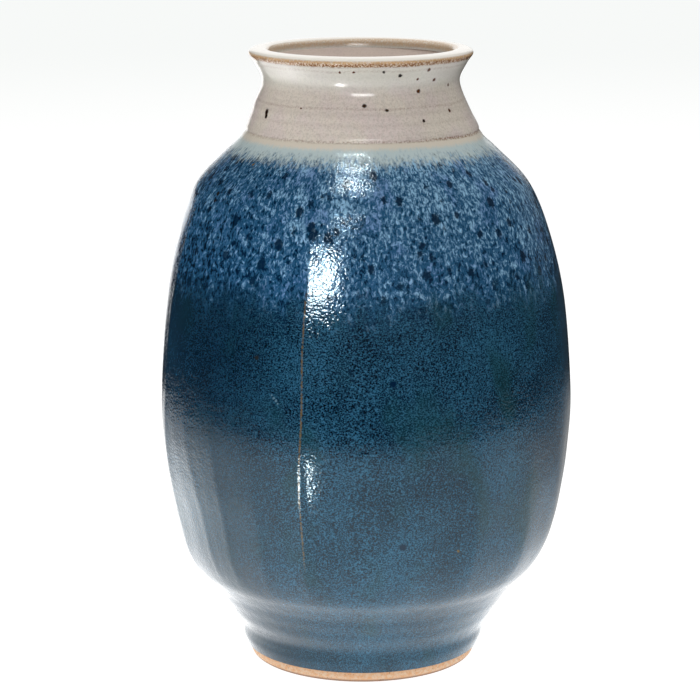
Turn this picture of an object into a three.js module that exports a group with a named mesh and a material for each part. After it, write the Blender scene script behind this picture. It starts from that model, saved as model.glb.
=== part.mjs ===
// A wheel-thrown stoneware vase with knife-cut facets, a joined neck collar and a foot ring.
//
// Millimetres, +Z up. The origin is the centre of the plane that the foot rests on, and the
// front of the vase faces -Y. Azimuths are degrees from the front, positive towards +X.
//
// The clay is three pieces: the body wall with its floor, the neck collar joined on at the
// crease, and the foot ring. Four fired glaze coats lie over it as thin closed shells.

import * as THREE from "three";

// ---------------------------------------------------------------- driving dimensions

const HEIGHT = 250;
const BELLY_RADIUS = 85; // over the ridges, at the widest height
const CREASE_HEIGHT = 217.4; // where the neck collar joins the body
const GLAZE_LINE = 5; // bare clay shows below this height
const OVERLAP_LINE = 157; // lower edge of the mottled overlap glaze
const RECESS_HEIGHT = 8; // depth of the hollow inside the foot ring
const FLOOR_TOP = 19; // inner floor of the vase, above the resting plane

const CONTACT_INNER_RADIUS = 38; // the flat ring that the vase stands on
const CONTACT_OUTER_RADIUS = 44.6;
const RECESS_RADIUS = 36.5;
const CLAY_EDGE_RADIUS = 46.7; // bare clay just under the glaze line
const EDGE_BEVEL = 1.5; // both bottom edges of the foot ring

const GLAZE_THICKNESS = 0.8;
const GAP = 0.3; // clearance between neighbouring solids
const CLAY_DEPTH = GLAZE_THICKNESS + GAP; // from the glazed surface down to the clay
const LINER_TOP = HEIGHT - 4; // inside the rim, where the collar glaze meets the liner glaze

// How deep the cuts go at each height, as a share of a straight cut from ridge to ridge.
const CUT_DEPTHS = [
  [36, 0], [52, 1.2], [68, 1.2], [84, 0.95], [112, 0.52], [150, 0.66], [186, 0.42], [198, 0],
];

// Ridges left between the knife cuts: azimuth, and how much of the thrown radius each keeps.
const RIDGES = [
  [-155, 1], [-137, 0.996], [-120, 0.99], [-105, 1], [-64, 1],
  [-55, 0.993], [-44, 0.991], [-30, 0.992], [-16, 1], [-5, 0.986],
  [14, 1], [33, 0.996], [53, 1], [71, 0.997], [92, 1],
  [111, 0.997], [130, 1], [150, 0.996], [168, 1], [186, 0.997],
];

const ROWS_PER_SPAN = 2;
const WIDEST_COLUMN = 11; // degrees between neighbouring mesh columns, at most

// ---------------------------------------------------------------- outlines (radius, height)

// Control points of the outer glazed surface, from the foot to the crest of the rim. Each
// stretch is one smooth curve; stretches meet in a visible edge.
const OUTSIDE_STRETCHES = [
  // foot roll, groove and the flared underside up to the break of the belly
  [[47.9, GLAZE_LINE], [49.6, 9.5], [50, 14.2], [61.8, 31], [72.2, 42]],
  // belly and shoulder
  [[72.2, 42], [78.8, 53], [82.4, 68], [84.8, 90], [BELLY_RADIUS, 112], [82, 150], [75, 178],
    [66.8, 196], [54.4, 209], [48.7, 214.2], [47, CREASE_HEIGHT]],
  // neck, up to the sharp outer edge of the lip
  [[47, CREASE_HEIGHT], [42.9, 227], [39.5, 236.5], [42.2, 243.5], [45, 247.4]],
  // bevelled top of the lip
  [[45, 247.4], [42.6, 249.4], [39.8, HEIGHT]],
];

// Control points of the inner glazed surface, from the crest of the rim to the floor.
const INSIDE_STRETCHES = [
  [[39.8, HEIGHT], [37.2, 249], [36.4, LINER_TOP], [34, 236], [38.6, CREASE_HEIGHT]],
  [[38.6, CREASE_HEIGHT], [57, 196], [73.5, 150], [76.5, 110], [67, 56], [48, 28],
    [24, FLOOR_TOP + 0.6], [0, FLOOR_TOP]],
];

// A line's points hold the radius in x, the height in y, and in z how deep the knife cuts go
// there: 0 where the vase stays round, 1 at straight cuts from ridge to ridge.
function smoothLine(stretches, cutAt) {
  const line = [];
  for (const stretch of stretches) {
    const knots = stretch.map(([radius, height]) => new THREE.Vector2(radius, height));
    const points = new THREE.SplineCurve(knots).getPoints(ROWS_PER_SPAN * (knots.length - 1));
    line.push(...points.slice(line.length > 0 ? 1 : 0));
  }
  return line.map((point) => new THREE.Vector3(point.x, point.y, cutAt(point.y)));
}

function cutStrength(height) {
  const next = CUT_DEPTHS.findIndex(([knot]) => knot >= height);
  if (next <= 0) return 0;
  const [low, lowDepth] = CUT_DEPTHS[next - 1];
  const [high, highDepth] = CUT_DEPTHS[next];
  const share = THREE.MathUtils.smoothstep(height, low, high);
  return THREE.MathUtils.lerp(lowDepth, highDepth, share);
}

// Moves a line sideways by the given depth, to its left as it is travelled, keeping the
// distance true at corners.
function offsetLine(line, depth) {
  const sides = line.slice(1).map((point, i) => {
    return new THREE.Vector3(line[i].y - point.y, point.x - line[i].x, 0).normalize();
  });
  return line.map((point, i) => {
    const before = sides[Math.max(i - 1, 0)];
    const after = sides[Math.min(i, sides.length - 1)];
    const middle = before.clone().add(after).normalize();
    return point.clone().addScaledVector(middle, depth / middle.dot(after));
  });
}

// The part of a line between two heights, with a new end point exactly at each cut.
function between(line, low, high) {
  const kept = [];
  line.forEach((point, i) => {
    const previous = line[i - 1] ?? point;
    const crossed = [low, high].filter((cut) => (previous.y - cut) * (point.y - cut) < 0);
    crossed.sort((a, b) => Math.abs(a - previous.y) - Math.abs(b - previous.y));
    for (const cut of crossed) {
      const share = (cut - previous.y) / (point.y - previous.y);
      kept.push(previous.clone().lerp(point, share).setY(cut));
    }
    if (point.y >= low && point.y <= high) kept.push(point);
  });
  return kept;
}

const outside = smoothLine(OUTSIDE_STRETCHES, cutStrength);
const inside = smoothLine(INSIDE_STRETCHES, () => 0);
const clayOutside = offsetLine(outside, CLAY_DEPTH);
const clayInside = offsetLine(inside, CLAY_DEPTH);
clayInside.at(-1).x = 0;

// ---------------------------------------------------------------- faceted revolution

// Mesh columns: one on every ridge, and enough between them to keep the round parts round.
const columns = RIDGES.flatMap(([azimuth, keep], i) => {
  const [nextAzimuth, nextKeep] = RIDGES[(i + 1) % RIDGES.length];
  const width = (nextAzimuth - azimuth + 360) % 360;
  const steps = Math.max(2, Math.ceil(width / WIDEST_COLUMN));
  return Array.from({ length: steps }, (_, step) => ({
    azimuth: THREE.MathUtils.degToRad(azimuth + (width * step) / steps),
    flat: chordRadius(keep, nextKeep, THREE.MathUtils.degToRad(width), step / steps),
  }));
});

// Radius of a straight cut from one ridge to the next, as a share of the thrown radius.
function chordRadius(keep, nextKeep, width, share) {
  const start = new THREE.Vector2(keep, 0);
  const end = new THREE.Vector2(Math.cos(width), Math.sin(width)).multiplyScalar(nextKeep);
  const ray = new THREE.Vector2(Math.cos(width * share), Math.sin(width * share));
  const chord = end.clone().sub(start);
  return start.cross(chord) / ray.cross(chord);
}

// Turns a profile about the axis and cuts it back towards the facets.
function turned(name, profile, material) {
  const geometry = new THREE.LatheGeometry(profile, columns.length);
  const position = geometry.getAttribute("position");
  for (let index = 0; index < position.count; index += 1) {
    const point = profile[index % profile.length];
    const column = columns[Math.floor(index / profile.length) % columns.length];
    const radius = point.x * THREE.MathUtils.lerp(1, column.flat, point.z);
    const x = radius * Math.sin(column.azimuth);
    const y = -radius * Math.cos(column.azimuth);
    position.setXYZ(index, x, y, point.y);
  }
  geometry.setIndex(matchedTriangles(profile));
  geometry.computeVertexNormals();
  const mesh = new THREE.Mesh(geometry, material);
  mesh.name = name;
  return mesh;
}

// Splits every four-sided patch along the same diagonal whether its profile runs up or down, so
// that the back of a coat and the clay behind it stay parallel where the facets fade out.
function matchedTriangles(profile) {
  const rows = profile.length;
  const triangles = [];
  for (let column = 0; column < columns.length; column += 1) {
    for (let row = 0; row < rows - 1; row += 1) {
      const a = column * rows + row;
      const [b, c, d] = [a + rows, a + rows + 1, a + 1];
      const runsDown = profile[row + 1].y < profile[row].y;
      triangles.push(...(runsDown ? [a, b, c, a, c, d] : [a, b, d, b, c, d]));
    }
  }
  return triangles;
}

function closedLoop(points) {
  return [...points, points[0].clone()];
}

// A thin coat between a visible line and the same line moved back by the glaze thickness.
function coatLoop(front, back) {
  return closedLoop([...front, ...back.toReversed()]);
}

// ---------------------------------------------------------------- materials

const clayMaterial = new THREE.MeshStandardMaterial({
  name: "tan_stoneware", color: 0xd3a87f, roughness: 0.85, metalness: 0,
});
const oatmealMaterial = new THREE.MeshStandardMaterial({
  name: "oatmeal_glaze", color: 0xb0a89e, roughness: 0.25, metalness: 0,
});
const mottledMaterial = new THREE.MeshStandardMaterial({
  name: "mottled_glaze", color: 0x3f6585, roughness: 0.2, metalness: 0,
});
const blueMaterial = new THREE.MeshStandardMaterial({
  name: "blue_glaze", color: 0x16364b, roughness: 0.2, metalness: 0,
});

// ---------------------------------------------------------------- clay pieces

function bodyWall() {
  const base = RECESS_HEIGHT + GAP;
  const top = CREASE_HEIGHT - GAP;
  const outer = between(clayOutside, base, top);
  const inner = between(clayInside, 0, top);
  return turned("body_wall", [new THREE.Vector3(0, base, 0), ...outer, ...inner], clayMaterial);
}

function neckCollar() {
  const outer = between(clayOutside, CREASE_HEIGHT, HEIGHT);
  const inner = between(clayInside, CREASE_HEIGHT, HEIGHT).slice(1);
  return turned("neck_collar", closedLoop([...outer, ...inner]), clayMaterial);
}

function footRing() {
  const bareEdge = [
    new THREE.Vector3(CONTACT_OUTER_RADIUS, 0, 0),
    new THREE.Vector3(CONTACT_OUTER_RADIUS + EDGE_BEVEL, EDGE_BEVEL, 0),
    new THREE.Vector3(CLAY_EDGE_RADIUS, GLAZE_LINE - GAP, 0),
  ];
  const underGlaze = between(clayOutside, GLAZE_LINE, RECESS_HEIGHT);
  const recessSide = [
    new THREE.Vector3(RECESS_RADIUS, RECESS_HEIGHT, 0),
    new THREE.Vector3(RECESS_RADIUS, EDGE_BEVEL, 0),
    new THREE.Vector3(CONTACT_INNER_RADIUS, 0, 0),
  ];
  const loop = closedLoop([...bareEdge, ...underGlaze, ...recessSide]);
  return turned("foot_ring", loop, clayMaterial);
}

// ---------------------------------------------------------------- glaze coats

function outerCoat(name, low, high, material) {
  const front = between(outside, low, high);
  const back = between(offsetLine(outside, GLAZE_THICKNESS), low, high);
  return turned(name, coatLoop(front, back), material);
}

function bodyGlaze() {
  return outerCoat("body_glaze", GLAZE_LINE, OVERLAP_LINE - GAP / 2, blueMaterial);
}

function shoulderGlaze() {
  const top = CREASE_HEIGHT - GAP / 2;
  return outerCoat("shoulder_glaze", OVERLAP_LINE + GAP / 2, top, mottledMaterial);
}

// From the crease, over the lip and a little way down inside.
function collarGlaze() {
  const low = CREASE_HEIGHT + GAP / 2;
  const front = [
    ...between(outside, low, HEIGHT),
    ...between(inside, LINER_TOP + GAP / 2, HEIGHT).slice(1),
  ];
  const back = [
    ...between(offsetLine(outside, GLAZE_THICKNESS), low, HEIGHT),
    ...between(offsetLine(inside, GLAZE_THICKNESS), LINER_TOP + GAP / 2, HEIGHT).slice(1),
  ];
  return turned("collar_glaze", coatLoop(front, back), oatmealMaterial);
}

function linerGlaze() {
  const top = LINER_TOP - GAP / 2;
  const front = between(inside, 0, top);
  const back = between(offsetLine(inside, GLAZE_THICKNESS), 0, top);
  back.at(-1).x = 0;
  return turned("liner_glaze", [...back.toReversed(), ...front], oatmealMaterial);
}

// ---------------------------------------------------------------- the vase

const vase = new THREE.Group();
vase.add(bodyWall(), neckCollar(), footRing());
vase.add(bodyGlaze(), shoulderGlaze(), collarGlaze(), linerGlaze());

export default vase;
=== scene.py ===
"""Looks of the faceted stoneware vase: fine clay and glaze surfaces, their materials and a studio.

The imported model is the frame. Every fine piece is a closed shell turned about the Z axis on the
same outline as the CAD solids, cut back to the same facets, and stands for one CAD node.
Azimuths are degrees from the front (-Y), positive towards +X. Lengths named in this script are
millimetres of a vase 250 mm tall, and MM turns them into the frame's metres.
"""

import math

import bpy
import numpy as np
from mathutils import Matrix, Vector


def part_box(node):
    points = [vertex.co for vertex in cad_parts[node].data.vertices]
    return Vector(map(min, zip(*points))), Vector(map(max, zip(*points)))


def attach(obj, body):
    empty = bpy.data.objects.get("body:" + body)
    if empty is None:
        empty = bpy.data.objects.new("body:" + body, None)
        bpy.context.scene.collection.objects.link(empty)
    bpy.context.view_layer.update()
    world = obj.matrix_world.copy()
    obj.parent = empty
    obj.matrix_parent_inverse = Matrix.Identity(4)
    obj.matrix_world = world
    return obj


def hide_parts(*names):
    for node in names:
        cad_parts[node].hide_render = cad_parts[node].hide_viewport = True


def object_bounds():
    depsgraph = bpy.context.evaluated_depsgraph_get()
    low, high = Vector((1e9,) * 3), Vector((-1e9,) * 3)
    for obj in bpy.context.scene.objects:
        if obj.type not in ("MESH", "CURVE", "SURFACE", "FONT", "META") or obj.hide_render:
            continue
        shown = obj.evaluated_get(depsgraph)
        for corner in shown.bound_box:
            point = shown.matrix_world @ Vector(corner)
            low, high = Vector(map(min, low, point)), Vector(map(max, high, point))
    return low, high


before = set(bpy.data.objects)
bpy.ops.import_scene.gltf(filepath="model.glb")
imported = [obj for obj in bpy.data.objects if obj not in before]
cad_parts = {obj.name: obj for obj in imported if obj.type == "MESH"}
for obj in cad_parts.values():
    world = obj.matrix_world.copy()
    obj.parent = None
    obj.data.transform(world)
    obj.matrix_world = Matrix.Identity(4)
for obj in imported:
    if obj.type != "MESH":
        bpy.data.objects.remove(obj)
CAD_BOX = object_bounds()

# ------------------------------------------------------------------ sizes taken from the frame

HEIGHT = 250.0
MM = CAD_BOX[1].z / HEIGHT  # metres in one design millimetre


def level(node, end):
    """Height of a CAD node's lowest (end 0) or highest (end 1) point, in design millimetres."""
    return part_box(node)[end].z / MM


GLAZE_THICKNESS = 0.8
CLAY_DEPTH = 1.0  # from the glazed surface down to the clay
JOINT_GAP = 0.02  # between neighbouring glaze pieces, too small to see
CLAY_GAP = 0.1  # where the wall meets the collar and the foot ring, under the glaze

CAD_GAP = level("shoulder_glaze", 0) - level("body_glaze", 1)
OVERLAP_LINE = level("body_glaze", 1) + CAD_GAP / 2  # lower edge of the mottled glaze
LINER_TOP = level("liner_glaze", 1) + CAD_GAP / 2  # inside the rim, where two glazes meet
GLAZE_LINE = level("body_glaze", 0)  # bare clay shows below
CREASE_HEIGHT = level("neck_collar", 0)  # where the collar was joined to the body
RECESS_HEIGHT = level("foot_ring", 1)  # depth of the hollow inside the foot ring
FLOOR_TOP = level("liner_glaze", 0) + GLAZE_THICKNESS  # inner floor of the vase
BELLY_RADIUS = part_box("body_glaze")[1].x / MM

CONTACT_INNER_RADIUS = 38.0  # the flat ring that the vase stands on
CONTACT_OUTER_RADIUS = 44.2
RECESS_RADIUS = 36.5
CLAY_EDGE_RADIUS = 46.6  # bare clay just under the glaze line
LIP_EDGE = 247.4  # height of the lip's outer edge, under its bevelled top

# ------------------------------------------------------------------ outline (radius, height)

OUTSIDE_STRETCHES = [
    # foot roll, groove and the flared underside, round the break of the belly
    [(47.9, GLAZE_LINE), (49.6, 9.5), (50.6, 14.2), (61.8, 31), (72.2, 42), (78.8, 53),
    # belly and shoulder
     (82.4, 68), (84.8, 90), (BELLY_RADIUS, 112), (82, 150), (75, 178),
     (66.8, 196), (54.4, 209), (48.7, 214.2), (47, CREASE_HEIGHT)],
    # neck, up to the outer edge of the lip
    [(47, CREASE_HEIGHT), (42.9, 227), (39.5, 236.5), (42.2, 243.5), (45, LIP_EDGE)],
    # bevelled top of the lip
    [(45, LIP_EDGE), (44.7, 248.7), (42.9, 249.6), (39.8, HEIGHT)],
]
INSIDE_STRETCHES = [
    [(39.8, HEIGHT), (37.2, 249), (36.4, LINER_TOP), (34, 236), (38.6, CREASE_HEIGHT)],
    [(38.6, CREASE_HEIGHT), (57, 196), (73.5, 150), (76.5, 110), (67, 56), (48, 28),
     (24, FLOOR_TOP + 0.6), (0, FLOOR_TOP)],
]


def spline(knots, samples_per_span=24):
    """Points of a Catmull-Rom curve through the knots."""
    knots = np.array(knots, float)
    padded = np.vstack([knots[:1], knots, knots[-1:]])
    t = np.linspace(0, 1, samples_per_span, endpoint=False)[:, None]
    points = []
    for a, b, c, d in zip(padded, padded[1:], padded[2:], padded[3:]):
        v0, v1 = (c - a) / 2, (d - b) / 2
        cubic = (2 * (b - c) + v0 + v1) * t**3 + (3 * (c - b) - 2 * v0 - v1) * t**2
        points.append(cubic + v0 * t + b)
    return np.vstack(points + [knots[-1:]])


def line_length(line):
    """Distance travelled along a line at each of its points."""
    return np.concatenate([[0], np.cumsum(np.hypot(*np.diff(line, axis=0).T))])


def resample(line, step):
    """The same line with evenly spaced points, about one step apart."""
    length = line_length(line)
    count = max(2, int(round(length[-1] / step)) + 1)
    even = np.linspace(0, length[-1], count)
    return np.column_stack([np.interp(even, length, line[:, i]) for i in range(2)])


def soften(line, rounds):
    """Rounds off a line's corners a little, with its two ends held."""
    for _ in range(rounds):
        inner = (line[:-2] + 2 * line[1:-1] + line[2:]) / 4
        line = np.vstack([line[:1], inner, line[-1:]])
    return line


def smooth_line(stretches, step, rounds=0):
    """All stretches as one line with points about one step apart."""
    curve = np.vstack([spline(knots) for knots in stretches])
    moved = np.concatenate([[True], np.hypot(*np.diff(curve, axis=0).T) > 1e-6])
    return soften(resample(curve[moved], step), rounds)


def offset_line(line, depth):
    """The line moved sideways, to its left as it is travelled."""
    side = np.diff(line, axis=0)
    side = np.column_stack([-side[:, 1], side[:, 0]]) / np.hypot(*side.T)[:, None]
    before, after = np.vstack([side[:1], side]), np.vstack([side, side[-1:]])
    middle = before + after
    middle /= np.hypot(*middle.T)[:, None]
    moved = line + middle * (depth / (middle * after).sum(1))[:, None]
    moved[:, 0] = np.where(line[:, 0] < 1e-9, 0, np.maximum(moved[:, 0], 0))
    return moved


def between(line, low, high):
    """The part of a line between two heights, with an end point exactly at each cut."""
    kept = []
    for previous, point in zip(np.vstack([line[:1], line]), line):
        crossed = [cut for cut in (low, high) if (previous[1] - cut) * (point[1] - cut) < 0]
        for cut in sorted(crossed, key=lambda cut: abs(cut - previous[1])):
            share = (cut - previous[1]) / (point[1] - previous[1])
            kept.append(previous + (point - previous) * share)
        if low <= point[1] <= high:
            kept.append(point)
    return np.array(kept)


# ------------------------------------------------------------------ facets and hand marks

# Ridges left between the knife cuts: azimuth, share of the thrown radius kept, sharpness.
RIDGES = [
    (-155, 1, 0), (-137, 0.996, 0), (-120, 0.99, 0), (-101, 0.984, 0.3), (-67, 0.996, 1),
    (-55.5, 0.993, 0.6), (-44.5, 0.991, 0.5), (-30, 0.992, 0.4), (-16, 1, 1), (-5, 0.986, 0.4),
    (14, 1, 0.2), (33, 0.996, 0.35), (53, 1, 0.2), (71, 0.997, 0), (92, 1, 0.2),
    (111, 0.997, 0), (130, 1, 0.6), (150, 0.996, 0), (168, 1, 0.3), (186, 0.997, 0),
]
# One cut on the left went deeper than the rest: its direction, and how much of the thrown
# radius it leaves at each height.
DEEP_CUT_AZIMUTH = -85.0
DEEP_CUT_SHARES = [
    (32, 1.01), (40, 0.955), (48, 0.925), (60, 0.92), (75, 0.932), (92, 0.95), (112, 0.963),
    (150, 0.962), (178, 0.974), (200, 1.01),
]
DEEP_CUT_EDGE = 0.12  # millimetres over which its edges are worn round
DEEP_CUT_LIMIT = 1.3  # beyond this share of the thrown radius the cut's plane misses the wall
# How deep the cuts go at each height, as a share of a straight cut from ridge to ridge.
CUT_DEPTHS = [
    (36, 0), (52, 1.2), (68, 1.2), (84, 0.95), (112, 0.52), (150, 0.66), (186, 0.42), (198, 0),
]
SOFT_RIDGE_BLUR = 3.6  # degrees
SHARP_RIDGE_REACH = 4.0  # degrees either side of a sharp ridge
BREAK_RIDGE = -16.0  # the ridge on which the glaze breaks to tan
HOLLOW_DEPTH = 0.14  # of the short hollow just right of that ridge
HOLLOW_ASIDE = 1.1  # degrees from the ridge to its middle, and its half width
HOLLOW_HEIGHT = 90.0
HOLLOW_REACH = 17.0  # above and below its middle
CREASE_DEPTH = 0.45  # of the pinched line under the collar
CREASE_REACH = 0.8  # above and below the line
GROOVE_DEPTH = 0.6  # of the groove above the foot roll at the front, twice this on the left
GROOVE_HEIGHT = 14.6
GROOVE_REACH = 3.4
ASKEW = 0.7  # how far the collar sits off centre
LINER_RING_SPACING = 7.5  # between the throwing rings inside


def smoothstep(low, high, x):
    """0 at low, 1 at high, smooth between; low may be the larger of the two."""
    t = np.clip((x - low) / (high - low), 0, 1)
    return t * t * (3 - 2 * t)


def swell(value, centre, reach):
    """1 at the centre, falling away smoothly either side."""
    return np.exp(-(((value - centre) / reach) ** 2))


def cut_strength(height):
    """How deep the cuts go at each height, smooth between the entries of CUT_DEPTHS."""
    strength = np.zeros_like(height)
    for (low, low_depth), (high, high_depth) in zip(CUT_DEPTHS, CUT_DEPTHS[1:]):
        inside = (height >= low) & (height < high)
        share = smoothstep(low, high, height[inside])
        strength[inside] = low_depth + (high_depth - low_depth) * share
    return strength


def angle_between(a, b):
    """Signed angle from b to a, in degrees, from -180 to 180."""
    return (a - b + 180) % 360 - 180


def facet_table(samples=7200):
    """Flat-cut radius, as a share of the thrown radius, at evenly spaced azimuths."""
    azimuths = -180 + 360 * np.arange(samples) / samples
    crisp = np.ones(samples)
    sharp = np.zeros(samples)
    for (start, keep, sharpness), (end, next_keep, _) in zip(RIDGES, RIDGES[1:] + RIDGES[:1]):
        width = math.radians((end - start) % 360)
        turn = np.radians((azimuths - start) % 360)
        inside = turn < width
        along = turn[inside]
        chord = keep * next_keep * math.sin(width)
        crisp[inside] = chord / (keep * np.sin(along) + next_keep * np.sin(width - along))
        near = swell(angle_between(azimuths, start), 0, SHARP_RIDGE_REACH)
        sharp = np.maximum(sharp, sharpness * near)
    reach = int(4 * SOFT_RIDGE_BLUR * samples / 360)
    kernel = np.exp(-0.5 * (np.arange(-reach, reach + 1) * 360 / samples / SOFT_RIDGE_BLUR) ** 2)
    wrapped = np.concatenate([crisp[-reach:], crisp, crisp[:reach]])
    soft = np.convolve(wrapped, kernel / kernel.sum(), mode="valid")
    return azimuths, soft + (crisp - soft) * sharp


FACET_AZIMUTHS, FACET_SHARES = facet_table()


def ridge_wander(azimuth, height):
    """How far the hand-held knife strays sideways, in degrees; the left cuts slant."""
    slant = 7.0 * smoothstep(115, 60, height) * swell(azimuth, -52, 14)
    return 0.35 * np.sin(height / 21.0 + 0.8) + 0.2 * np.sin(height / 8.3) + slant


def thrown_unevenness(azimuth, height):
    """Slow waves of the wall, throwing rings on the neck, turning marks on the underside."""
    turn = np.radians(azimuth)
    waves = 0.18 * np.sin(2 * turn + height / 31) + 0.12 * np.sin(3 * turn - height / 23 + 1)
    rings = 0.035 * np.sin(2 * math.pi * (height + azimuth / 120) / 7.3 + np.sin(height / 5))
    turning = 0.05 * np.sin(2 * math.pi * (height + azimuth / 180) / 6.3 + np.sin(turn))
    wall = smoothstep(20, 60, height)
    neck = smoothstep(217, 222, height) * (1 - smoothstep(243, 247, height))
    underside = smoothstep(14, 18, height) * (1 - smoothstep(34, 42, height))
    return waves * wall + rings * neck + turning * underside


def hand_marks(azimuth, height):
    """All unevenness of the outside, in millimetres outward.

    The collar sits a little to the left, the groove above the foot roll is deepest on the left,
    and a short hollow lies along the right side of the sharp front ridge.
    """
    rightward = np.sin(np.radians(azimuth))
    askew = -ASKEW * rightward * smoothstep(218, 228, height)
    groove = -GROOVE_DEPTH * swell(height, GROOVE_HEIGHT, GROOVE_REACH) * (1 - rightward)
    beside_ridge = swell(azimuth, BREAK_RIDGE + HOLLOW_ASIDE, HOLLOW_ASIDE)
    hollow = -HOLLOW_DEPTH * beside_ridge * swell(height, HOLLOW_HEIGHT, HOLLOW_REACH)
    return thrown_unevenness(azimuth, height) + askew + groove + hollow


def crease_height(azimuth):
    """The line where the collar was joined on, slightly wavy."""
    return CREASE_HEIGHT + 0.3 * np.sin(np.radians(2 * azimuth + 60))


def break_distance(radius, azimuth, height):
    """Signed distance round the vase to the ridge where the glaze breaks to tan, in millimetres."""
    ridge = BREAK_RIDGE + ridge_wander(azimuth, height)
    return np.radians(angle_between(azimuth, ridge)) * radius


def deep_cut_share(azimuth, height):
    """Radius of the deep cut's flat face as a share of the thrown radius, large behind it."""
    heights, shares = np.array(DEEP_CUT_SHARES).T
    facing = np.cos(np.radians(azimuth - DEEP_CUT_AZIMUTH))
    return np.interp(height, heights, shares) / np.maximum(facing, 0.3)


def outer_radius(radius, azimuth, height):
    """Radius of the finished outer surface for points of the thrown outline."""
    wandered = (azimuth - ridge_wander(azimuth, height) + 180) % 360 - 180
    share = np.interp(wandered, FACET_AZIMUTHS, FACET_SHARES, period=360)
    shallow = radius * (1 - (1 - share) * cut_strength(height))
    deep = radius * deep_cut_share(azimuth, height)
    worn_edge = np.sqrt((deep - shallow) ** 2 + DEEP_CUT_EDGE**2)
    reached = deep < radius * DEEP_CUT_LIMIT
    faceted = np.where(reached, (deep + shallow - worn_edge) / 2, shallow)
    crease = CREASE_DEPTH * swell(height, crease_height(azimuth), CREASE_REACH)
    return faceted + hand_marks(azimuth, height) - crease


def round_wall(radius, azimuth, height):
    """The foot ring is turned, not cut, so it stays round."""
    return radius


# ------------------------------------------------------------------ closed fine shells

FINE_COLUMNS = 480  # faces round a piece that shows
MIDDLE_COLUMNS = 360
COARSE_COLUMNS = 180  # for clay that glaze covers on both sides
SHARP_EDGE = math.radians(50)  # edges that turn more than this are shaded sharp


def turned_piece(name, profile, columns=FINE_COLUMNS, radius_at=outer_radius, slant_start=0.0):
    """A closed solid turned from a profile that runs anticlockwise in (radius, height).

    The profile closes on itself, or starts and ends on the axis, where it gets one vertex.
    Each vertex keeps three distances in millimetres for the materials: along the outline, to
    the break ridge and above the crease.
    """
    rows = len(profile)
    azimuth = np.arange(columns) * 360.0 / columns - 180
    azimuth = np.broadcast_to(azimuth, (rows, columns))
    height = np.repeat(profile[:, 1:], columns, axis=1)
    radius = radius_at(np.repeat(profile[:, :1], columns, axis=1), azimuth, height)
    on_axis = profile[:, 0] < 1e-6
    radius[on_axis] = 0
    turn = np.radians(azimuth)
    points = np.stack([radius * np.sin(turn), -radius * np.cos(turn), height], axis=-1) * MM

    index = np.arange(rows * columns).reshape(rows, columns)
    index[on_axis] = index[on_axis][:, :1]
    blocks = []
    for row in range(rows):
        below, above = index[row], index[(row + 1) % rows]
        corners = np.column_stack([below, np.roll(below, -1), np.roll(above, -1), above])
        if on_axis[row] and on_axis[(row + 1) % rows]:
            continue
        if on_axis[row]:
            corners = corners[:, [0, 2, 3]]
        elif on_axis[(row + 1) % rows]:
            corners = corners[:, :3]
        blocks.append(corners)
    distances = {
        "slant": np.repeat(slant_start + line_length(profile), columns),
        "break_distance": break_distance(radius, azimuth, height).ravel(),
        "above_crease": (height - crease_height(azimuth)).ravel(),
    }
    return build_mesh(name, points.reshape(-1, 3), blocks, distances)


def build_mesh(name, points, face_blocks, distances):
    """Makes the mesh object from the vertices its faces use, smooth except at its cut edges."""
    used = np.unique(np.concatenate([block.ravel() for block in face_blocks]))
    renumber = np.zeros(len(points), int)
    renumber[used] = np.arange(len(used))
    faces = [tuple(face) for block in face_blocks for face in renumber[block].tolist()]
    mesh = bpy.data.meshes.new(name)
    mesh.from_pydata(points[used].tolist(), [], faces)
    for label, values in distances.items():
        mesh.attributes.new(label, "FLOAT", "POINT").data.foreach_set("value", values[used])
    mesh.shade_smooth()
    mesh.set_sharp_from_angle(angle=SHARP_EDGE)
    piece = bpy.data.objects.new(name, mesh)
    bpy.context.scene.collection.objects.link(piece)
    return piece


def coat_profile(front, back):
    """A closed loop along the visible front of a coat and back along its buried side."""
    return np.vstack([front, back[::-1]])


def outer_coat(name, low, high):
    """A glaze coat on the outside of the vase between two heights."""
    line = smooth_line(OUTSIDE_STRETCHES, step=1.15, rounds=1)
    front = between(line, low, high)
    rough_line = smooth_line(OUTSIDE_STRETCHES, step=5)
    back = between(offset_line(rough_line, GLAZE_THICKNESS), low, high)
    slant_start = line_length(between(line, 0, low))[-1] if low > GLAZE_LINE else 0.0
    return turned_piece(name, coat_profile(front, back), slant_start=slant_start)


def over_the_lip(step, depth=0.0, rounds=0):
    """The line from the crease over the lip and a little way down inside, at a depth."""
    outside = smooth_line(OUTSIDE_STRETCHES, step)
    inside = smooth_line(INSIDE_STRETCHES, step)
    line = soften(np.vstack([outside, inside[1:]]), rounds)
    if depth:
        line = offset_line(line, depth)
    crest = len(outside)
    up = between(line[:crest], CREASE_HEIGHT + JOINT_GAP / 2, HEIGHT)
    down = between(line[crest:], LINER_TOP + JOINT_GAP / 2, HEIGHT)
    return np.vstack([up, down])


def collar_coat(name):
    """The coat over the neck, over the lip and just inside it."""
    front = over_the_lip(step=0.5, rounds=3)
    back = over_the_lip(step=1.5, depth=GLAZE_THICKNESS)
    return turned_piece(name, coat_profile(front, back))


def liner_coat(name):
    """The coat on the whole inside, closed across the floor."""
    top = LINER_TOP - JOINT_GAP / 2
    front = between(smooth_line(INSIDE_STRETCHES, step=1.5), 0, top)
    back = between(offset_line(smooth_line(INSIDE_STRETCHES, step=5), GLAZE_THICKNESS), 0, top)
    profile = np.vstack([back[::-1], front])
    return turned_piece(name, profile, MIDDLE_COLUMNS, liner_radius)


def liner_radius(radius, azimuth, height):
    """Faint throwing rings on the inside."""
    spiral = height + azimuth / 360 * LINER_RING_SPACING
    rings = 0.25 * np.sin(2 * math.pi * spiral / LINER_RING_SPACING)
    return radius + rings * smoothstep(8, 20, radius) * (1 - smoothstep(225, 240, height))


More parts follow.
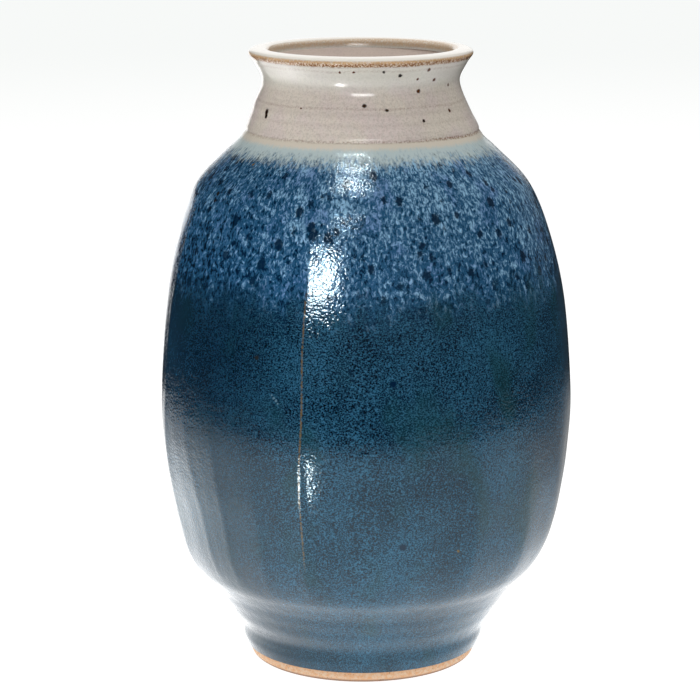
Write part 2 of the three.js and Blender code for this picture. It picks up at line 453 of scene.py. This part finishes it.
def clay_line(stretches, step):
    """The clay's surface under the glaze."""
    return offset_line(smooth_line(stretches, step), CLAY_DEPTH)


def body_wall(name):
    """The thrown and cut wall with its floor, up to the joint under the collar."""
    base, top = RECESS_HEIGHT + CLAY_GAP, CREASE_HEIGHT - CLAY_GAP
    outer = between(clay_line(OUTSIDE_STRETCHES, 3), base, top)
    inner = between(clay_line(INSIDE_STRETCHES, 4), 0, top)
    underside = resample(np.array([(0, base), outer[0]]), 1.2)[:-1]
    profile = np.vstack([underside, outer, inner])
    return turned_piece(name, profile, MIDDLE_COLUMNS)


def neck_collar(name):
    """The clay of the collar, all of it under glaze."""
    outer = between(clay_line(OUTSIDE_STRETCHES, 2), CREASE_HEIGHT, HEIGHT)
    inner = between(clay_line(INSIDE_STRETCHES, 2), CREASE_HEIGHT, HEIGHT)[1:]
    return turned_piece(name, np.vstack([outer, inner]), COARSE_COLUMNS)


def foot_ring(name):
    """The turned ring that the vase stands on, with worn, rounded bottom edges."""
    bare = np.array([
        (CONTACT_INNER_RADIUS, 0), (CONTACT_OUTER_RADIUS, 0), (45.5, 0.6), (46.2, 2),
        (CLAY_EDGE_RADIUS, GLAZE_LINE - 0.2),
    ])
    under_glaze = between(clay_line(OUTSIDE_STRETCHES, 1), GLAZE_LINE, RECESS_HEIGHT)
    recess = np.array([
        (RECESS_RADIUS, RECESS_HEIGHT), (RECESS_RADIUS, 1.6), (37, 0.5), (CONTACT_INNER_RADIUS, 0),
    ])
    outer = soften(resample(np.vstack([bare, under_glaze]), 0.5), rounds=2)
    inner = soften(resample(recess, 0.5), rounds=2)[:-1]
    return turned_piece(name, np.vstack([outer, inner]), FINE_COLUMNS, round_wall)


# ------------------------------------------------------------------ shader graphs


class Graph:
    """A shader node tree built with plain method calls."""

    def __init__(self, tree):
        self.tree = tree
        tree.nodes.clear()

    def plug(self, socket, value):
        """Links an output to an input, or sets the input to a number or colour."""
        if isinstance(value, bpy.types.NodeSocket):
            self.tree.links.new(value, socket)
        elif isinstance(value, tuple) and len(value) == 3 and socket.type == "RGBA":
            socket.default_value = (*value, 1)
        else:
            socket.default_value = value

    def make(self, kind, **inputs):
        node = self.tree.nodes.new(kind)
        for name, value in inputs.items():
            self.plug(node.inputs[name.replace("_", " ")], value)
        return node

    def math(self, operation, a, b=0.0):
        node = self.tree.nodes.new("ShaderNodeMath")
        node.operation = operation
        self.plug(node.inputs[0], a)
        self.plug(node.inputs[1], b)
        return node.outputs[0]

    def add(self, *values):
        total = values[0]
        for value in values[1:]:
            total = self.math("ADD", total, value)
        return total

    def times(self, *values):
        product = values[0]
        for value in values[1:]:
            product = self.math("MULTIPLY", product, value)
        return product

    def vector(self, operation, a, b=(0, 0, 0), scale=1.0):
        node = self.tree.nodes.new("ShaderNodeVectorMath")
        node.operation = operation
        self.plug(node.inputs[0], a)
        if operation == "SCALE":
            self.plug(node.inputs["Scale"], scale)
        else:
            self.plug(node.inputs[1], b)
        return node.outputs["Value" if operation in ("DISTANCE", "LENGTH") else "Vector"]

    def split(self, vector):
        """The x, y and z of a vector, or the red, green and blue of a colour."""
        return self.make("ShaderNodeSeparateXYZ", Vector=vector).outputs

    def join(self, x, y, z):
        return self.make("ShaderNodeCombineXYZ", X=x, Y=y, Z=z).outputs[0]

    def step(self, value, low, high, top=1.0):
        """0 at low, top at high, smooth between; low may be the larger of the two."""
        node = self.tree.nodes.new("ShaderNodeMapRange")
        node.interpolation_type = "SMOOTHSTEP"
        for name, number in (("Value", value), ("From Min", low), ("From Max", high),
                             ("To Min", 0.0), ("To Max", top)):
            self.plug(node.inputs[name], number)
        return node.outputs["Result"]

    def band(self, value, centre, half_width, edge, top=1.0):
        """top within half_width of centre, falling to 0 over the edge width."""
        distance = self.math("ABSOLUTE", self.math("SUBTRACT", value, centre))
        return self.step(distance, half_width + edge, half_width, top)

    def mix(self, factor, a, b):
        node = self.tree.nodes.new("ShaderNodeMix")
        node.data_type = "RGBA"
        sockets = {socket.identifier: socket for socket in node.inputs}
        self.plug(sockets["Factor_Float"], factor)
        self.plug(sockets["A_Color"], a)
        self.plug(sockets["B_Color"], b)
        return next(s for s in node.outputs if s.identifier == "Result_Color")

    def pool(self, place, centre, reach, strength):
        """A round soft patch: strength at its centre, fading out at its reach."""
        return self.step(self.vector("DISTANCE", place, centre), reach, 0.0, strength)


PATTERN_RADIUS = 70.0  # of the cylinder on which wrapped patterns are drawn
REFRACTIVE_INDEX = 1.5  # of the glazes; bare clay is near enough the same


class Finish(Graph):
    """A surface material. Lengths are millimetres of the vase."""

    def __init__(self, name):
        self.material = bpy.data.materials.new(name)
        self.material.use_nodes = True
        super().__init__(self.material.node_tree)
        self.shader = self.make("ShaderNodeBsdfPrincipled")
        self.make("ShaderNodeOutputMaterial", Surface=self.shader.outputs["BSDF"])
        place = self.make("ShaderNodeTexCoord").outputs["Object"]
        self.place = self.vector("SCALE", place, scale=1 / MM)
        self.x, self.y, self.height = self.split(self.place)
        self.radius = self.vector("LENGTH", self.vector("MULTIPLY", self.place, (1, 1, 0)))
        turn = self.math("ARCTAN2", self.x, self.times(self.y, -1))
        self.azimuth = self.times(turn, 180 / math.pi)
        self.slant = self.attribute("slant")

    def attribute(self, name):
        """A distance that turned_piece stored on the vertices."""
        node = self.make("ShaderNodeAttribute")
        node.attribute_name = name
        return node.outputs["Fac"]

    def noise(self, place, period, detail=2.0, roughness=0.5, distortion=0.0):
        node = self.make("ShaderNodeTexNoise", Vector=place, Scale=1 / period, Detail=detail,
                         Roughness=roughness, Distortion=distortion)
        return node.outputs["Fac"]

    def cells(self, place, period):
        """Distance to the nearest cell point, in periods, and the cell's random number."""
        node = self.make("ShaderNodeTexVoronoi", Vector=place, Scale=1 / period)
        return node.outputs["Distance"], self.split(node.outputs["Color"])[0]

    def wrapped(self, stretch=1.0):
        """A place on the surface as if it were a cylinder: even round the vase and along its
        outline, with no seam. Patterns drawn on it run stretch times longer downhill."""
        share = self.math("DIVIDE", PATTERN_RADIUS, self.math("MAXIMUM", self.radius, 1.0))
        return self.join(self.times(self.x, share), self.times(self.y, share),
                         self.times(self.slant, 1 / stretch))

    def bump(self, height, distance, normal=None):
        """A bump whose height field runs from 0 to 1 over a distance in millimetres."""
        node = self.make("ShaderNodeBump", Height=height, Distance=distance * MM, Strength=1.0)
        if normal is not None:
            self.plug(node.inputs["Normal"], normal)
        return node.outputs["Normal"]

    def finish(self, color, roughness, normal):
        self.plug(self.shader.inputs["Base Color"], color)
        self.plug(self.shader.inputs["Roughness"], roughness)
        self.plug(self.shader.inputs["Normal"], normal)
        self.plug(self.shader.inputs["IOR"], REFRACTIVE_INDEX)
        return self.material


def srgb(red, green, blue):
    """A colour given as 0 to 255 display values, as linear light."""
    def linear(value):
        value /= 255
        return value / 12.92 if value <= 0.04045 else ((value + 0.055) / 1.055) ** 2.4
    return tuple(linear(value) for value in (red, green, blue))


def surface_point(azimuth, height):
    """A point on the finished outside, in millimetres."""
    line = smooth_line(OUTSIDE_STRETCHES, step=1)
    radius = np.interp([height], line[:, 1], line[:, 0])
    radius = outer_radius(radius, np.array([azimuth]), np.array([float(height)]))[0]
    turn = math.radians(azimuth)
    return (radius * math.sin(turn), -radius * math.cos(turn), float(height))


# ------------------------------------------------------------------ glaze and clay materials

DEEP_BLUE = srgb(4, 26, 44)
BODY_BLUE = srgb(48, 98, 127)
TEAL_SHADE = srgb(18, 58, 60)
VEIN_BLUE = srgb(144, 188, 220)
VEIN_VIOLET = srgb(96, 124, 182)
MOTTLE_BLUE = srgb(38, 84, 120)
SPOT_NAVY = srgb(2, 28, 52)
CELADON = srgb(192, 208, 210)
CREAM = srgb(220, 212, 198)
BREAK_TAN = srgb(112, 88, 40)
PINHOLE = srgb(34, 32, 30)
SCUFF = srgb(84, 110, 124)
IRON_BROWN = srgb(84, 44, 22)
IRON_DARK = srgb(46, 26, 16)
LIP_BROWN = srgb(126, 82, 44)
LIP_GOLD = srgb(204, 160, 104)
# painted highlight for the lip's top, lit from above
CREST_HIGHLIGHT = srgb(255, 251, 243)
OATMEAL = srgb(224, 214, 202)
OATMEAL_PINK = srgb(222, 208, 203)
OATMEAL_GREEN = srgb(206, 209, 200)
OATMEAL_DARK = srgb(150, 136, 120)
LINER_PINK = srgb(248, 228, 217)
CLAY_TAN = srgb(212, 184, 156)
CLAY_ORANGE = srgb(204, 146, 98)

GLAZE_SHEEN = (0.74, 0.93, 1.0)  # the dark glaze mirrors the white table a little blue
RAGGED_EDGE = 26  # how far streaks carry the mottled glaze's lower edge up and down
OVERLAP_FADE = (-6, 14)  # from the overlap line, blue to mottled
CELADON_FADE = (-10, -4)  # from the crease, mottled to celadon
CREAM_FADE = (-3.6, -1.6)  # from the crease, celadon to cream
BREAK_FOOT = (54, 66)  # heights between which the tan line begins
BREAK_TOP = (198, 180)  # heights between which it ends
NECK_LINES = [(229.9, 0.3), (244.3, 0.26), (223.6, 0.08)]  # brown lines: height, strength

# Iron specks on the collar and single marks on the blue: azimuth, height, size and colour.
COLLAR_SPECKS = [
    (-59, 226.6, 1.3, IRON_DARK), (-58.4, 225, 1.0, IRON_DARK), (1, 231.2, 0.9, IRON_DARK),
    (13, 229.4, 0.8, IRON_DARK), (33, 224.8, 0.7, IRON_DARK), (53.5, 227.5, 0.8, IRON_BROWN),
    (33.5, 235.9, 0.9, IRON_BROWN), (32, 240.7, 0.6, IRON_BROWN), (44.5, 239.8, 0.8, IRON_BROWN),
    (20.5, 242.5, 0.9, IRON_DARK), (11, 244.2, 0.6, IRON_DARK), (37.5, 244.2, 0.8, IRON_BROWN),
    (59.5, 236.9, 0.6, IRON_BROWN), (-11.5, 244.2, 0.5, IRON_BROWN), (-4.5, 244.2, 0.5, IRON_BROWN),
    (-34, 229.6, 0.4, IRON_BROWN), (104, 233, 0.8, IRON_DARK), (141, 226, 0.9, IRON_DARK),
    (-122, 238, 0.7, IRON_BROWN), (-96, 229, 0.8, IRON_DARK), (172, 241, 0.7, IRON_BROWN),
]
BODY_MARKS = [
    (8, 131.3, 1.4, SPOT_NAVY), (-29, 139.3, 0.9, PINHOLE), (11, 66.5, 1.5, SPOT_NAVY),
    (27.5, 62.6, 0.6, BREAK_TAN), (-24.1, 125.7, 0.4, SCUFF), (-23.5, 124.7, 0.5, SCUFF),
    (-22.9, 123.7, 0.5, SCUFF), (-22.3, 122.7, 0.4, SCUFF), (118, 96, 1.1, PINHOLE),
    (-140, 128, 1.2, SPOT_NAVY), (160, 74, 0.7, BREAK_TAN),
]
SHOULDER_MARKS = [
    (-57.5, 196.4, 1.0, PINHOLE), (-57.1, 193.9, 0.8, PINHOLE), (-49.5, 207.9, 0.6, BREAK_TAN),
    (96, 181, 1.0, PINHOLE), (-150, 190, 1.0, PINHOLE),
]


def add_marks(f, color, marks):
    """Draws single round marks with slightly wavering edges."""
    wobble = f.times(f.add(f.noise(f.place, 0.9), -0.5), 0.9)
    for azimuth, height, size, mark_color in marks:
        distance = f.add(f.vector("DISTANCE", f.place, surface_point(azimuth, height)), wobble)
        color = f.mix(f.step(distance, size * 1.3, size * 0.6), color, mark_color)
    return color


def blue_color(f):
    """The blue glaze: a fine speckle, slow drifts of depth and hue, and the tan break."""
    speckle = f.noise(f.wrapped(), 0.52, detail=1, roughness=0.6)
    drift = f.noise(f.wrapped(), 22, detail=3)
    tone = f.add(speckle, f.times(drift, 0.3))
    color = f.mix(f.step(tone, 0.52, 0.88), DEEP_BLUE, BODY_BLUE)
    hue = f.step(f.noise(f.wrapped(stretch=2), 15, detail=2), 0.52, 0.72, top=0.45)
    color = f.mix(hue, color, TEAL_SHADE)
    # Darker on the left side of the vase, from about -8 to -150 degrees.
    left_darkening = f.times(f.step(f.azimuth, -8, -46, top=0.7), f.step(f.azimuth, -150, -90))
    color = f.mix(left_darkening, color, DEEP_BLUE)
    return tan_break(f, color)


def tan_break(f, color):
    """The glaze runs thin over the sharp ridge and breaks to a broken tan line."""
    grain = f.noise(f.place, 1.3, detail=2, roughness=0.7)
    away = f.math("ABSOLUTE", f.attribute("break_distance"))
    near = f.step(f.math("SUBTRACT", away, f.times(grain, 0.3)), 0.36, 0.0)
    along = f.times(f.step(f.height, *BREAK_FOOT), f.step(f.height, *BREAK_TOP))
    in_front = f.step(f.y, -10, -20)
    line = f.times(near, along, in_front, f.step(grain, 0.3, 0.6), 0.75)
    return f.mix(line, color, BREAK_TAN)


def mottled_color(f):
    """The overlap glaze: pale streaks running downhill over mid blue, with dark spots."""
    streaks = f.noise(f.wrapped(stretch=1.8), 1.15, detail=2, roughness=0.7, distortion=0.6)
    clumps = f.noise(f.wrapped(stretch=1.5), 4, detail=2)
    upward = f.step(f.height, 158, 208, top=0.09)
    side = f.step(f.azimuth, -10, -52, top=-0.07)
    tone = f.add(streaks, f.times(clumps, 0.3), upward, side)
    base = f.mix(f.step(tone, 0.49, 0.66), SPOT_NAVY, MOTTLE_BLUE)
    violet = f.step(f.noise(f.wrapped(stretch=1.4), 9, detail=2), 0.5, 0.64, top=0.6)
    color = f.mix(f.step(tone, 0.66, 0.92), base, f.mix(violet, VEIN_BLUE, VEIN_VIOLET))
    wobble = f.noise(f.wrapped(), 1.2, detail=2, roughness=0.7)
    distance, chance = f.cells(f.wrapped(stretch=1.4), 5.8)
    size = f.times(f.add(chance, -0.5), 0.2)
    edge = f.math("SUBTRACT", f.add(distance, f.times(wobble, 0.45)), size)
    return f.mix(f.step(edge, 0.52, 0.4, top=0.92), color, SPOT_NAVY)


def outer_glaze(name, marks):
    """Blue below, mottled above the overlap line, pale towards the crease."""
    f = Finish(name)
    f.plug(f.shader.inputs["Specular Tint"], GLAZE_SHEEN)
    blue = blue_color(f)
    drips = f.add(f.noise(f.wrapped(stretch=3.2), 4.5, detail=3, roughness=0.6), -0.5)
    edge_height = f.add(f.height, f.times(drips, RAGGED_EDGE))
    low, high = (OVERLAP_LINE + fade for fade in OVERLAP_FADE)
    overlap = f.step(edge_height, low, high)
    color = f.mix(overlap, blue, mottled_color(f))
    fine = f.add(f.noise(f.wrapped(stretch=2), 1.4, detail=3, roughness=0.7), -0.5)
    above = f.attribute("above_crease")
    pale = f.step(f.add(above, f.times(fine, 14)), *CELADON_FADE)
    cream = f.step(f.add(above, f.times(fine, 2.5)), *CREAM_FADE)
    color = f.mix(pale, color, CELADON)
    color = f.mix(cream, color, CREAM)
    color = add_marks(f, color, marks)
    color = crease_line(f, color, above)
    return f.finish(color, glaze_roughness(f, 0.05), glaze_bump(f, 0.1))


def crease_line(f, color, above):
    """Iron shows brown where the glaze pulled thin over the joint, most on the right."""
    grain = f.noise(f.place, 0.8, detail=2, roughness=0.7)
    right = f.step(f.azimuth, 0, 70, top=0.5)
    amount = f.times(f.add(0.35, right), f.step(grain, 0.38, 0.6))
    return f.mix(f.times(f.band(above, 0, 0.2, 0.7), amount), color, LIP_BROWN)


def glaze_roughness(f, base):
    """Handling and kiln wear: slightly duller patches."""
    return f.add(base, f.step(f.noise(f.place, 14, detail=3), 0.45, 0.75, top=0.09))


def glaze_bump(f, depth):
    """Orange-peel skin of a reduction glaze: fine pits over slow waves."""
    fine = f.noise(f.wrapped(), 0.9, detail=1)
    slow = f.noise(f.wrapped(), 5, detail=2)
    return f.bump(fine, depth, normal=f.bump(slow, depth * 1.4))


def oatmeal_color(f):
    """Warm grey with pink and green drifts, faint layers round the vase and darker grain."""
    pink = f.step(f.noise(f.place, 13, detail=3), 0.4, 0.64)
    color = f.mix(pink, OATMEAL, OATMEAL_PINK)
    grain = f.step(f.noise(f.wrapped(stretch=2.5), 1.1, detail=3, roughness=0.7), 0.35, 0.75, 0.3)
    color = f.mix(grain, color, OATMEAL_GREEN)
    layers = f.step(f.noise(f.join(0, 0, f.slant), 3.2, detail=2), 0.4, 0.65, top=0.16)
    color = f.mix(layers, color, OATMEAL_DARK)
    dark = f.step(f.noise(f.place, 0.8, detail=2, roughness=0.8), 0.42, 0.68, top=0.34)
    return f.mix(dark, color, OATMEAL_DARK)


def collar_glaze(name):
    """Warm grey glaze with iron specks, broken brown on the lip, the rings and the crease."""
    f = Finish(name)
    color = oatmeal_color(f)
    # Painted shade: the undercut below the overhanging lip is painted greener and a little darker.
    color = f.mix(f.band(f.height, 242, 2, 6, top=0.5), color, OATMEAL_GREEN)
    grain = f.noise(f.place, 0.7, detail=2, roughness=0.7)
    wave = f.times(f.add(f.noise(f.place, 12), -0.5), 1.6)
    for line_height, amount in NECK_LINES:
        line = f.band(f.add(f.height, wave), line_height, 0.1, 0.7, top=amount)
        color = f.mix(f.times(line, f.step(grain, 0.38, 0.6)), color, LIP_BROWN)
    color = crease_line(f, color, f.attribute("above_crease"))
    color = lip_color(f, color, grain, wave)
    color = add_marks(f, color, COLLAR_SPECKS)
    return f.finish(color, glaze_roughness(f, 0.14), glaze_bump(f, 0.02))


def lip_color(f, color, grain, wave):
    """A crest painted near white as a painted highlight, with gold and brown where the glaze ran
    thin on both edges of the lip.
    """
    # Painted highlight: the lip's top is painted near white for the light falling on it from above.
    color = f.mix(f.step(f.height, LIP_EDGE + 0.5, LIP_EDGE + 1.5, top=0.9), color, CREST_HIGHLIGHT)
    outside = f.step(f.radius, 41.5, 43)
    gold = f.times(outside, f.band(f.height, LIP_EDGE, 0.6, 0.9), f.step(grain, 0.2, 0.6, top=0.9))
    color = f.mix(gold, color, LIP_GOLD)
    wavy_height = f.add(f.height, f.times(wave, 0.5))
    brown = f.times(outside, f.band(wavy_height, LIP_EDGE - 0.6, 0.3, 0.9))
    color = f.mix(f.times(brown, f.step(grain, 0.4, 0.56)), color, LIP_BROWN)
    high_up = f.step(f.height, LIP_EDGE - 1.2, LIP_EDGE, top=0.6)
    inner = f.times(f.step(f.radius, 38.6, 37.6), high_up)
    return f.mix(f.times(inner, f.step(grain, 0.2, 0.6)), color, LIP_GOLD)


def liner_glaze(name):
    """The same glaze thinner, pinker and duller inside, with small golden breaks; it is also
    painted lighter, as painted light on the inside.
    """
    f = Finish(name)
    color = oatmeal_color(f)
    # LINER_PINK is pinker and lighter than OATMEAL: the lightening is painted light on the inside.
    color = f.mix(0.6, color, LINER_PINK)
    brown = f.step(f.noise(f.place, 1.0, detail=3, roughness=0.7), 0.62, 0.74, top=0.5)
    color = f.mix(brown, color, LIP_GOLD)
    return f.finish(color, glaze_roughness(f, 0.3), glaze_bump(f, 0.05))


def bare_clay(name):
    """Unglazed stoneware: dry, grainy, orange where it meets the glaze, with a painted contact
    shadow along its bottom edge.
    """
    f = Finish(name)
    grain = f.noise(f.place, 1.3, detail=4, roughness=0.75)
    color = f.mix(f.step(grain, 0.4, 0.62, top=0.8), CLAY_TAN, CLAY_ORANGE)
    flash = f.times(f.step(f.height, 3.2, GLAZE_LINE), f.step(f.radius, 44, 45.5, top=0.6))
    color = f.mix(flash, color, CLAY_ORANGE)
    specks = f.step(f.noise(f.place, 0.7, detail=2), 0.64, 0.72, top=0.7)
    color = f.mix(specks, color, IRON_BROWN)
    # Painted contact shadow: a dark line along the bottom edge, where the foot meets the table.
    contact_shadow = f.step(f.add(f.height, grain), 2.4, 1.3, top=0.8)
    color = f.mix(contact_shadow, color, IRON_BROWN)
    return f.finish(color, f.add(0.72, f.times(grain, 0.2)), f.bump(grain, 0.16))


# ------------------------------------------------------------------ pieces


def place_piece(piece, node, material):
    """Gives a fine piece its material and lets it stand for one CAD node."""
    piece.data.materials.append(material)
    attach(piece, "root")
    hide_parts(node)
    return piece


def build_vase():
    """The seven pieces, clay first."""
    below, above = OVERLAP_LINE - JOINT_GAP / 2, OVERLAP_LINE + JOINT_GAP / 2
    crease = CREASE_HEIGHT - JOINT_GAP / 2
    clay = bare_clay("bare_clay")
    place_piece(body_wall("body_wall_fine"), "body_wall", clay)
    place_piece(neck_collar("neck_collar_fine"), "neck_collar", clay)
    place_piece(foot_ring("foot_ring_fine"), "foot_ring", clay)
    place_piece(outer_coat("body_glaze_fine", GLAZE_LINE, below), "body_glaze",
                outer_glaze("blue_glaze", BODY_MARKS))
    place_piece(outer_coat("shoulder_glaze_fine", above, crease), "shoulder_glaze",
                outer_glaze("mottled_glaze", SHOULDER_MARKS))
    place_piece(collar_coat("collar_glaze_fine"), "collar_glaze",
                collar_glaze("oatmeal_glaze"))
    place_piece(liner_coat("liner_glaze_fine"), "liner_glaze",
                liner_glaze("liner_glaze"))


# ------------------------------------------------------------------ studio

# Lengths in the studio are in vase heights, angles in degrees.
VASE_HEIGHT = HEIGHT * MM
CAMERA_DISTANCE = 4.138  # from the vase's axis
CAMERA_HEIGHT = 1.4054  # above the table
CAMERA_PITCH = 12.26  # below level
CAMERA_LENS = 133.7  # millimetres, on Blender's 36 mm sensor
CAMERA_SHIFT = -0.0176  # of the picture's width
LIGHT_DISTANCE = 5
AIM_HEIGHT = 0.6  # that the lights point at
FLOOR_HALF = 40  # half the side of the table
FLOOR_CLEARANCE = 0.1  # millimetres of the vase, so that foot and table never coincide
BACKDROP = (0.94, 0.956, 0.95)
NEAR_TABLE = (1.06, 1.06, 1.06)
MIDDLE_TABLE = (0.94, 0.94, 0.94)
FAR_TABLE = (0.81, 0.83, 0.822)
WHITE = (1.0, 1.0, 1.0)


def add_camera():
    """A long lens in front of the vase, looking slightly down."""
    data = bpy.data.cameras.new("camera")
    data.lens = CAMERA_LENS
    data.shift_x = CAMERA_SHIFT
    camera = bpy.data.objects.new("camera", data)
    camera.location = (0, -CAMERA_DISTANCE * VASE_HEIGHT, CAMERA_HEIGHT * VASE_HEIGHT)
    camera.rotation_euler = (math.radians(90 - CAMERA_PITCH), 0, 0)
    bpy.context.scene.collection.objects.link(camera)
    bpy.context.scene.camera = camera


def softbox(name, azimuth, elevation, width, height, radiance, mirrored_in):
    """A rectangular area light that only shows as a mirrored highlight in the named pieces.

    It is aimed at the middle of the vase; its angles are in degrees.
    """
    distance = LIGHT_DISTANCE * VASE_HEIGHT
    data = bpy.data.lights.new(name, "AREA")
    data.shape = "RECTANGLE"
    data.size = 2 * distance * math.tan(math.radians(width / 2))
    data.size_y = 2 * distance * math.tan(math.radians(height / 2))
    data.energy = radiance * math.pi * data.size * data.size_y
    light = bpy.data.objects.new(name, data)
    around, up = math.radians(azimuth), math.radians(elevation)
    direction = Vector((
        math.sin(around) * math.cos(up), -math.cos(around) * math.cos(up), math.sin(up),
    ))
    light.location = Vector((0, 0, AIM_HEIGHT * VASE_HEIGHT)) + direction * distance
    light.rotation_mode = "QUATERNION"
    light.rotation_quaternion = direction.to_track_quat("Z", "Y")
    light.visible_diffuse = False
    bpy.context.scene.collection.objects.link(light)
    receivers = bpy.data.collections.new(name + "_receivers")
    for piece_name in mirrored_in:
        receivers.objects.link(bpy.data.objects[piece_name])
    light.light_linking.receiver_collection = receivers


def seen_table(g, away):
    """What the camera sees: a white table that pales to the backdrop far behind the vase."""
    close = g.mix(g.step(away, 1.5, 4), NEAR_TABLE, MIDDLE_TABLE)
    color = g.mix(g.step(away, 4, 10.5), close, FAR_TABLE)
    glow = g.make("ShaderNodeEmission", Color=color, Strength=0.93)
    matte = g.make("ShaderNodeBsdfDiffuse", Color=(0.2, 0.2, 0.2))
    both = g.make("ShaderNodeAddShader")
    g.plug(both.inputs[0], glow.outputs[0])
    g.plug(both.inputs[1], matte.outputs[0])
    return both.outputs[0]


def lit_table(g, x, y, away):
    """Where the mirrored table lies, from 0 to 1, and its light: brighter on the left, dimmer
    behind on the right and right at the foot."""
    sideways = g.math("DIVIDE", x, g.math("MAXIMUM", away, 0.01))
    edge = g.add(1.8, g.times(g.math("ABSOLUTE", sideways), 0.8))
    softness = g.add(0.07, g.step(sideways, -0.1, 0.5, top=0.3))
    inside = g.step(away, g.add(edge, softness), g.math("SUBTRACT", edge, softness))
    fading = g.times(1.95, g.math("POWER", math.e, g.times(away, -0.5)))
    left_gain = g.add(1, g.step(x, 0.0, -0.9, top=0.5))
    back_shade = g.add(1, g.times(g.step(y, 0.0, 0.8, top=-0.65), g.step(x, -0.6, -0.1)))
    contact_shade = g.add(0.88, g.step(away, 0.22, 0.5, top=0.12))
    return inside, g.times(fading, left_gain, back_shade, inside, contact_shade)


def mirrored_table(g, place, away):
    """What the glaze sees: a lit table that fades outwards and ends in the dark all round, with
    brighter patches on the left. From beyond its edge it lights the vase evenly."""
    x, y, _ = g.split(place)
    inside, light = lit_table(g, x, y, away)
    left_pool = g.pool(place, (-0.8, 0.26, 0), 0.8, 2.4)
    glint = g.pool(place, (-0.53, -1.12, 0), 0.17, 90.0)
    behind = g.step(g.add(x, g.times(y, 0.45)), 0.0, 0.3)
    left_back = g.times(g.step(y, 0.8, 1.6), g.step(x, 0.0, -0.25), behind, 1.6)
    diffuse_ray = g.make("ShaderNodeLightPath").outputs["Is Diffuse Ray"]
    beyond = g.times(diffuse_ray, g.math("SUBTRACT", 1.0, inside), 0.5)
    strength = g.add(light, left_pool, glint, left_back, beyond, 0.02)
    return g.make("ShaderNodeEmission", Color=WHITE, Strength=strength).outputs[0]


def add_floor():
    """A plain table top without a visible edge, just below the foot."""
    half = FLOOR_HALF * VASE_HEIGHT
    mesh = bpy.data.meshes.new("floor")
    corners = [(-half, -half, 0), (half, -half, 0), (half, half, 0), (-half, half, 0)]
    mesh.from_pydata(corners, [], [(0, 1, 2, 3)])
    material = bpy.data.materials.new("white_table")
    material.use_nodes = True
    mesh.materials.append(material)
    g = Graph(material.node_tree)
    position = g.make("ShaderNodeNewGeometry").outputs["Position"]
    place = g.vector("SCALE", position, scale=1 / VASE_HEIGHT)
    away = g.vector("LENGTH", place)
    path = g.make("ShaderNodeLightPath")
    choice = g.make("ShaderNodeMixShader", Fac=path.outputs["Is Camera Ray"])
    g.plug(choice.inputs[1], mirrored_table(g, place, away))
    g.plug(choice.inputs[2], seen_table(g, away))
    g.make("ShaderNodeOutputMaterial", Surface=choice.outputs[0])
    piece = bpy.data.objects.new("floor", mesh)
    piece.location.z = -FLOOR_CLEARANCE * MM
    bpy.context.scene.collection.objects.link(piece)


def add_world():
    """A pale backdrop; the glaze mirrors a dim room with a white strip behind the vase."""
    scene_world = bpy.data.worlds.new("studio")
    bpy.context.scene.world = scene_world
    scene_world.use_nodes = True
    g = Graph(scene_world.node_tree)
    x, y, z = g.split(g.make("ShaderNodeTexCoord").outputs["Generated"])
    narrow = g.step(g.math("ABSOLUTE", x), 0.34, 0.2)
    strip = g.times(narrow, g.step(y, 0.0, 0.2), g.step(z, 0.85, 0.6))
    room = g.times(g.step(x, -0.6, -0.2, top=0.1), g.step(x, 1.1, 0.7))
    mirrored = g.make("ShaderNodeBackground", Color=WHITE, Strength=g.add(strip, room, 0.01))
    soft = g.make("ShaderNodeBackground", Color=(1.0, 0.99, 0.97),
                  Strength=g.add(0.5, g.step(z, 0.3, 1.0, top=0.7)))
    seen = g.make("ShaderNodeBackground", Color=BACKDROP, Strength=1.0)
    path = g.make("ShaderNodeLightPath")
    surfaces = g.make("ShaderNodeMixShader", Fac=path.outputs["Is Glossy Ray"])
    g.plug(surfaces.inputs[1], soft.outputs[0])
    g.plug(surfaces.inputs[2], mirrored.outputs[0])
    choice = g.make("ShaderNodeMixShader", Fac=path.outputs["Is Camera Ray"])
    g.plug(choice.inputs[1], surfaces.outputs[0])
    g.plug(choice.inputs[2], seen.outputs[0])
    g.make("ShaderNodeOutputWorld", Surface=choice.outputs[0])


def add_lights():
    """One big highlight beside the front ridge, two small ones above it and one on the neck."""
    outside = ["body_glaze_fine", "shoulder_glaze_fine"]
    softbox("key_softbox", -19, 20, 7, 10, 75, outside)
    softbox("upper_softbox", -11, 40, 4, 4, 50, outside)
    softbox("top_softbox", -24, 79, 5, 5, 80, outside)
    softbox("collar_softbox", 3, 18, 24, 7, 16, ["collar_glaze_fine"])


build_vase()
add_floor()
add_world()
add_lights()
add_camera()
bpy.context.scene.view_settings.view_transform = "Standard"
